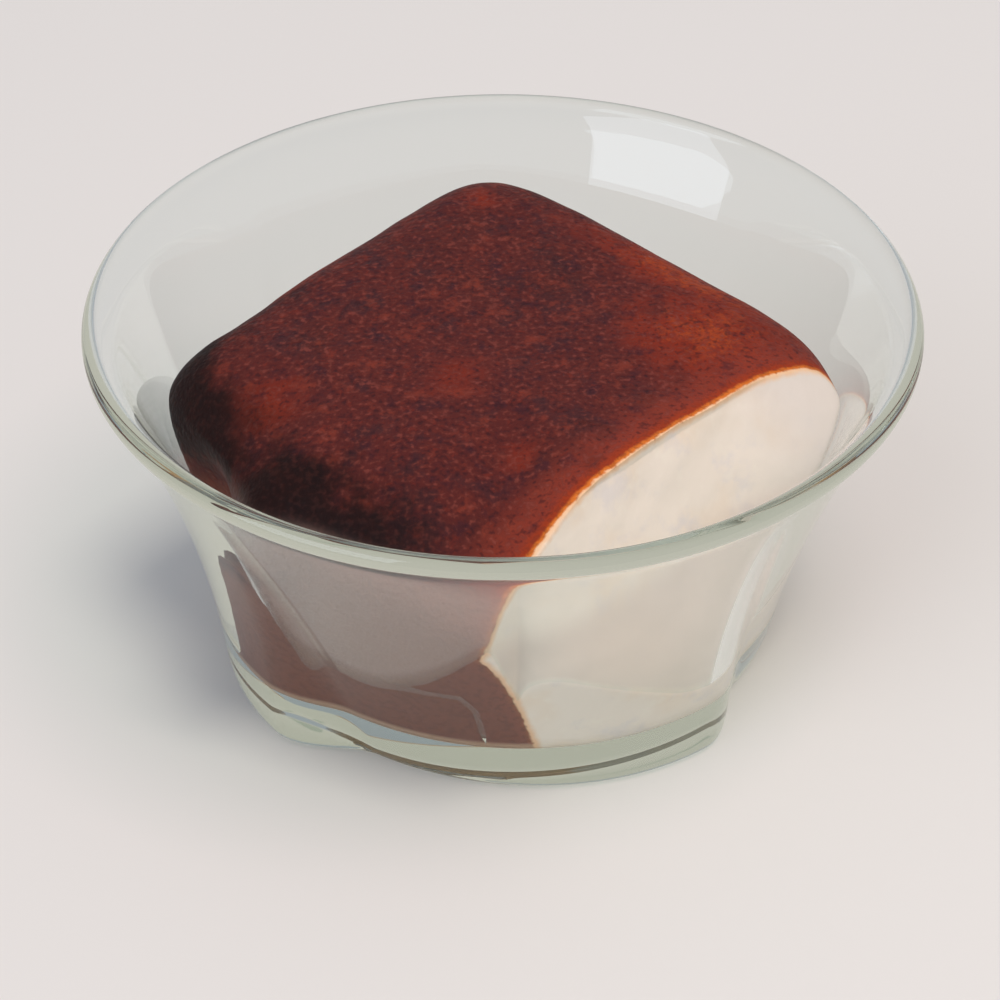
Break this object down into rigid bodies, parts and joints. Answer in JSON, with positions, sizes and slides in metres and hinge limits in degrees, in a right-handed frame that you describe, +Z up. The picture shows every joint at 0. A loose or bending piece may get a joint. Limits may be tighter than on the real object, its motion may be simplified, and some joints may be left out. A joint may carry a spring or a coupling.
{
  "type": "caramelised milk pudding in a glass bowl",
  "caption": "Milk pudding folded over with its dark caramelised skin outward and a cut face of white cream, lying in a flared pressed-glass dessert bowl with stepped petal sides.",
  "frame": {"origin": "middle of the bowl's foot, on the surface the bowl stands on", "axes": "+Z up along the bowl's axis; -Y is the front, where the camera stood; +X is to its right, and the pudding's cut face looks half way between -Y and +X"},
  "size_m": [0.12, 0.12, 0.055],
  "materials": {
    "pressed_glass": "glossy",
    "milk_pudding": "satin caramelised skin over white cream"
  },
  "bodies": {
    "root": {"glass_bowl": "pressed_glass", "milk_pudding": "milk_pudding"}
  },
  "joints": []
}
